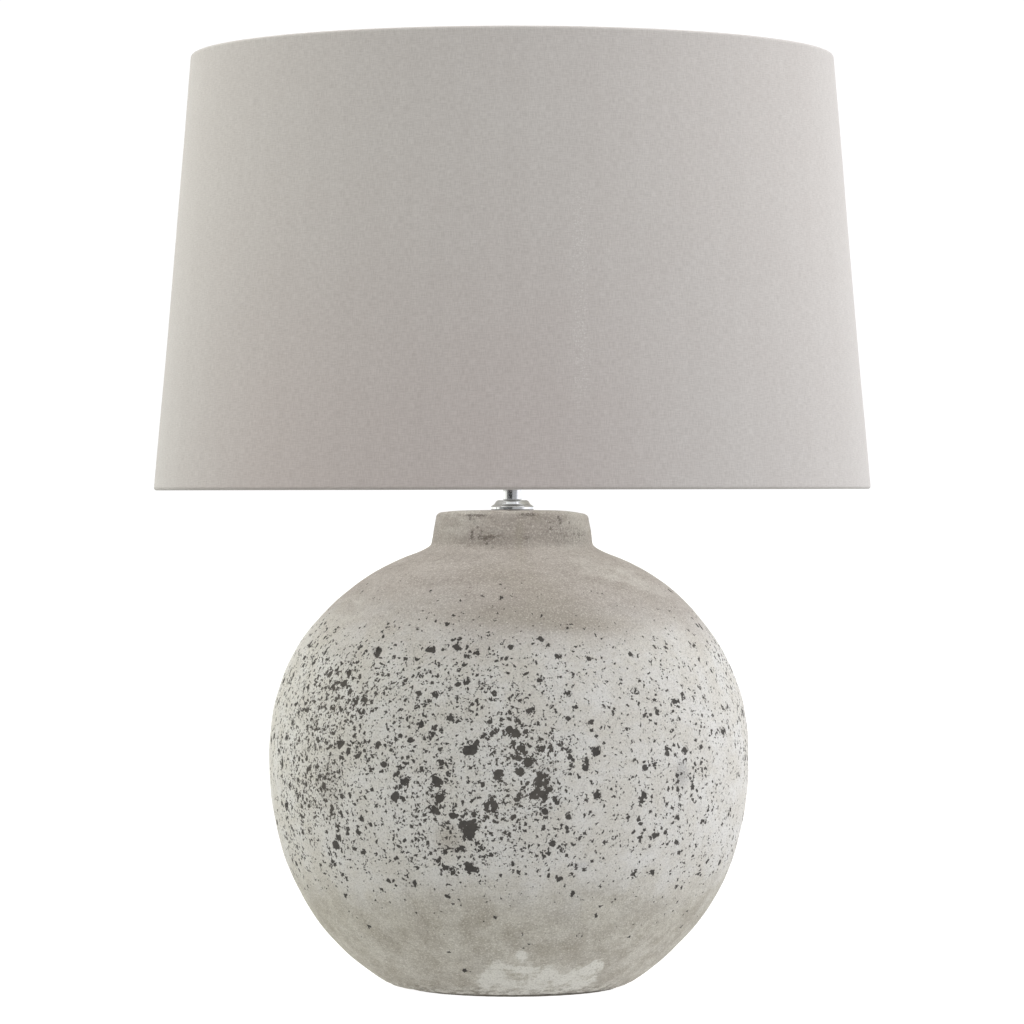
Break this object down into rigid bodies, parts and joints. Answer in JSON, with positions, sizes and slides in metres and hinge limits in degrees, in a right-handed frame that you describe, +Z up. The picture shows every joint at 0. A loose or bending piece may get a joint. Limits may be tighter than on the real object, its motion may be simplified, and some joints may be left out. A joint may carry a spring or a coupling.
{
  "type": "table lamp",
  "caption": "Table lamp with a round ceramic base, a short metal stem and a tapered drum fabric shade on a lampholder with a push switch.",
  "frame": {"origin": "centre of the felt's underside, on the table", "axes": "+Z up along the stem, -Y towards the viewer at the front, +Y towards the flex outlet at the back"},
  "size_m": [0.45, 0.45, 0.586],
  "materials": {
    "ceramic": "matte whitewashed stone effect with dark pits",
    "felt": "wool felt",
    "rubber": "matte",
    "chrome": "polished",
    "steel": "zinc plated",
    "brass": "plain",
    "nickel": "nickel plated",
    "white_plastic": "moulded, semi-gloss",
    "black_glass": "opaque black insulator",
    "porcelain": "glazed",
    "frosted_globe": "frosted white diffuser",
    "white_wire": "white coated wire",
    "circuit_board": "white solder mask",
    "shade_liner": "white laminated lining",
    "linen": "warm grey linen weave"
  },
  "bodies": {
    "base": {"base_felt": "felt", "ceramic_body": "ceramic", "flex_grommet": "rubber", "cap_gasket": "rubber", "vase_cap": "chrome", "stem_sleeve": "chrome", "threaded_rod": "steel", "neck_rubber_washer": "rubber", "neck_steel_washer": "steel", "neck_nut": "steel", "holder_cap": "white_plastic", "holder_grub_screw": "steel", "holder_insulator": "porcelain", "terminal_screw_live": "brass", "terminal_screw_neutral": "brass", "centre_contact": "brass", "side_contact": "brass", "holder_screw_shell": "brass", "holder_skirt": "white_plastic", "switch_contact_live": "brass", "switch_contact_load": "brass"},
    "seat_ring": {"shade_seat_ring": "white_plastic"},
    "shade": {"fitter_ring": "white_wire", "shade_arm_1": "white_wire", "shade_arm_2": "white_wire", "shade_arm_3": "white_wire", "shade_bottom_wire": "white_wire", "shade_top_wire": "white_wire", "shade_liner": "shade_liner", "shade_cover": "linen"},
    "retaining_ring": {"shade_retaining_ring": "white_plastic"},
    "bulb": {"bulb_tip_contact": "nickel", "bulb_cap_insulator": "black_glass", "bulb_cap": "nickel", "bulb_driver_board": "circuit_board", "bulb_led_board": "circuit_board", "bulb_collar": "white_plastic", "bulb_globe": "frosted_globe"},
    "switch": {"switch_bar": "white_plastic", "switch_bridge": "brass"}
  },
  "joints": [
    {"name": "shade_turn", "type": "hinge", "parent": "base", "child": "seat_ring", "pos_m": [0, 0, 0.356], "axis": [0, 0, 1], "continuous": true},
    {"name": "shade_lift", "type": "slide", "parent": "seat_ring", "child": "shade", "axis": [0, 0, 1], "range_m": [0, 0.045]},
    {"name": "retaining_ring_off", "type": "slide", "parent": "base", "child": "retaining_ring", "axis": [0, 0, 1], "range_m": [0, 0.0585]},
    {"name": "bulb_out", "type": "slide", "parent": "base", "child": "bulb", "axis": [0, 0, 1], "range_m": [0, 0.108]},
    {"name": "switch_push", "type": "slide", "parent": "base", "child": "switch", "axis": [1, 0, 0], "range_m": [0, 0.006]}
  ],
  "couplings": [
    {"joint": "retaining_ring_off", "follows": "shade_lift", "ratio": 1.3},
    {"joint": "bulb_out", "follows": "shade_lift", "ratio": 2.4}
  ]
}
